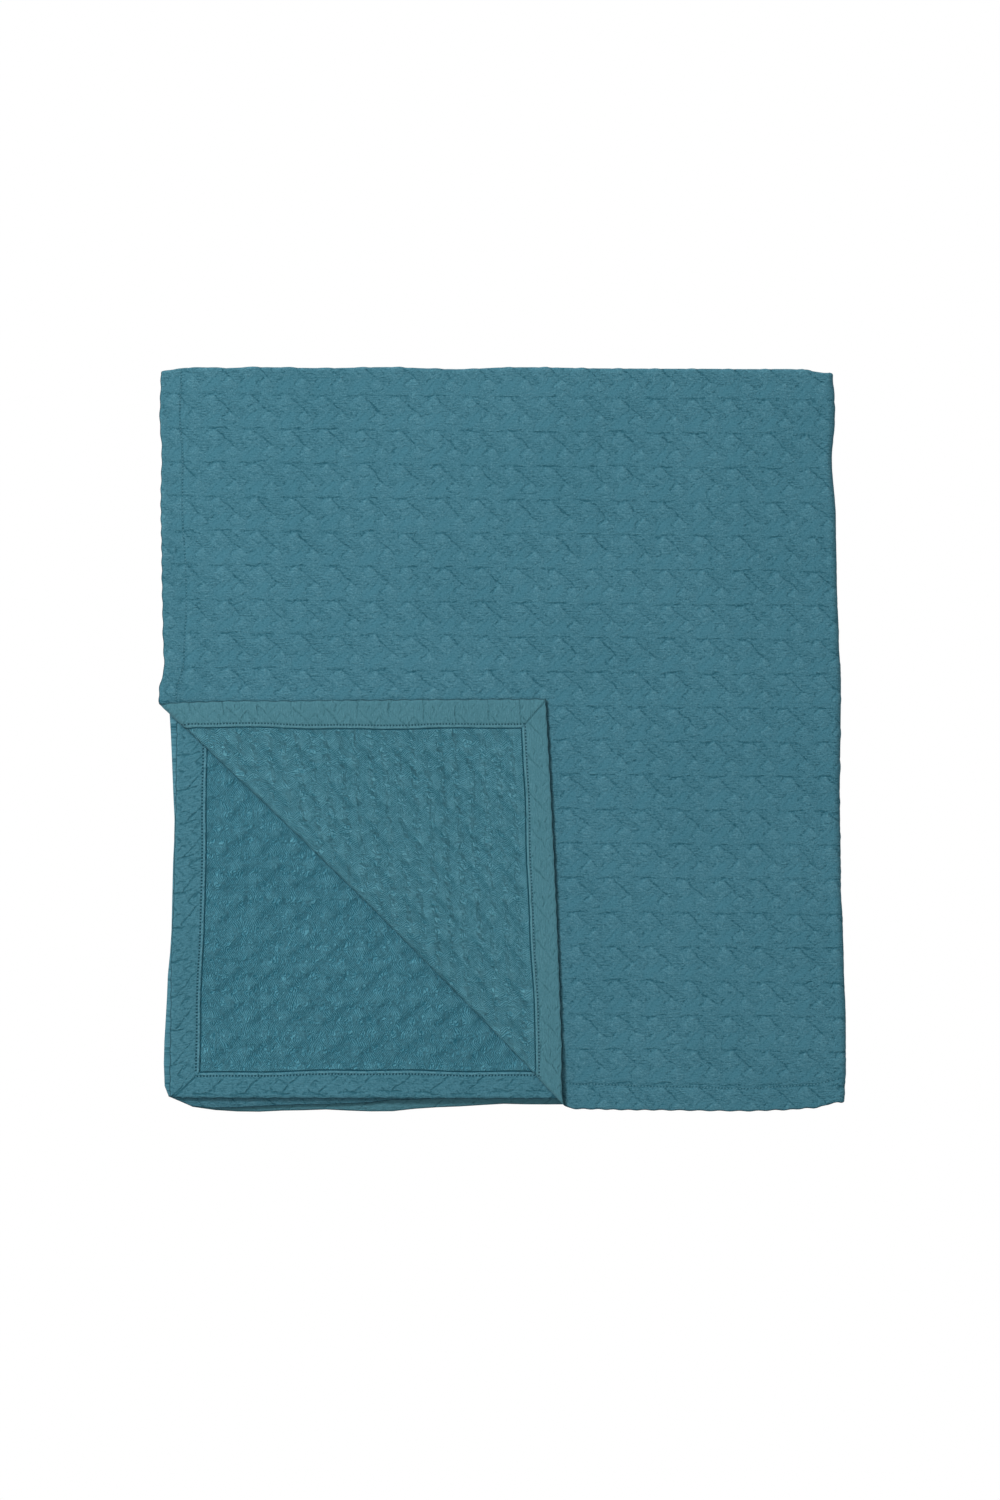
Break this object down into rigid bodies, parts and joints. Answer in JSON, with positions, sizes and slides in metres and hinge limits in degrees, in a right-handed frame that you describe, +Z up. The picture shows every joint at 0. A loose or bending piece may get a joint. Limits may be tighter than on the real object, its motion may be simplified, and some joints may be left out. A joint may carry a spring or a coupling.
{
  "type": "folded matelasse throw",
  "caption": "Matelasse bed throw with a small staggered lozenge quilting and plain hems, folded into a flat rectangular pile with a corner of the top layer turned back",
  "frame": {"origin": "centre of the pile's footprint, on the surface it lies on", "axes": "+Z is up, +Y runs away from the reader to the folded far edge, and +X runs to the right to the folded right edge"},
  "size_m": [0.6024, 0.653, 0.0245],
  "materials": {
    "matelasse": "matte woven cotton"
  },
  "bodies": {
    "root": {"throw": "matelasse"}
  },
  "joints": []
}
